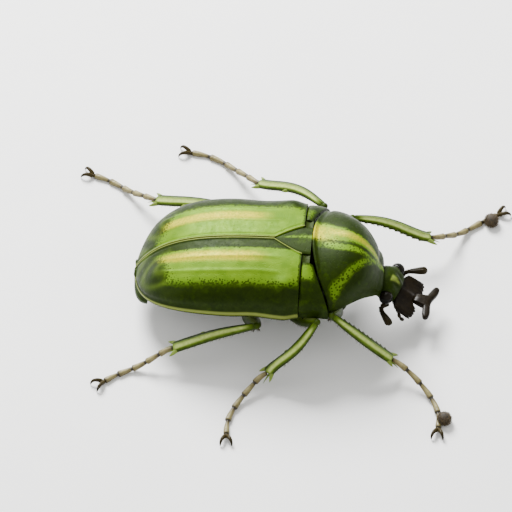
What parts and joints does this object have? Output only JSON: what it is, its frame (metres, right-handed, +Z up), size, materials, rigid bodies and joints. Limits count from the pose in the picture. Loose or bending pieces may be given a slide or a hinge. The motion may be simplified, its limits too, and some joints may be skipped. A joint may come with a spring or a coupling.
{
  "type": "horned flower beetle",
  "caption": "Life-size green flower beetle with a forked snout horn, standing on all its feet, a still museum-style model.",
  "frame": {"origin": "on the floor under the middle of the box round the whole insect with its legs", "axes": "+X is the way the head points, +Y the insect's left, +Z up from the floor it stands on"},
  "size_m": [0.07, 0.0608, 0.0163],
  "materials": {
    "shell": "polished green chitin with a metallic sheen",
    "shell_dark": "very dark green chitin, half gloss, punctured",
    "leg_shell": "green chitin with yellow-green highlights, half gloss",
    "horn_brown": "brown horn-like chitin, half matt",
    "tarsus_brown": "tan to dark brown chitin, half matt",
    "eye": "near-black facetted eye, glossy",
    "pad": "dense brown hair, matt"
  },
  "bodies": {
    "root": {"abdomen": "shell_dark", "antenna_club_left": "horn_brown", "antenna_club_right": "horn_brown", "antenna_left": "horn_brown", "antenna_right": "horn_brown", "claws_fore_left": "horn_brown", "claws_fore_right": "horn_brown", "claws_hind_left": "horn_brown", "claws_hind_right": "horn_brown", "claws_mid_left": "horn_brown", "claws_mid_right": "horn_brown", "clypeus": "horn_brown", "collar_left": "shell_dark", "collar_right": "shell_dark", "coxa_fore_left": "shell_dark", "coxa_fore_right": "shell_dark", "coxa_hind_left": "shell_dark", "coxa_hind_right": "shell_dark", "coxa_mid_left": "shell_dark", "coxa_mid_right": "shell_dark", "elytron_left": "shell", "elytron_right": "shell", "epimeron_left": "shell", "epimeron_right": "shell", "eye_left": "eye", "eye_right": "eye", "femur_fore_left": "leg_shell", "femur_fore_right": "leg_shell", "femur_hind_left": "leg_shell", "femur_hind_right": "leg_shell", "femur_mid_left": "leg_shell", "femur_mid_right": "leg_shell", "head": "shell_dark", "horn": "horn_brown", "mouthparts": "horn_brown", "pad_fore_left": "pad", "pad_fore_right": "pad", "palp_left": "horn_brown", "palp_right": "horn_brown", "pronotum": "shell", "prosternum": "shell_dark", "pygidium": "shell", "scutellum": "shell", "tarsus_fore_left": "tarsus_brown", "tarsus_fore_right": "tarsus_brown", "tarsus_hind_left": "tarsus_brown", "tarsus_hind_right": "tarsus_brown", "tarsus_mid_left": "tarsus_brown", "tarsus_mid_right": "tarsus_brown", "thorax": "shell_dark", "tibia_fore_left": "leg_shell", "tibia_fore_right": "leg_shell", "tibia_hind_left": "leg_shell", "tibia_hind_right": "leg_shell", "tibia_mid_left": "leg_shell", "tibia_mid_right": "leg_shell"}
  },
  "joints": []
}
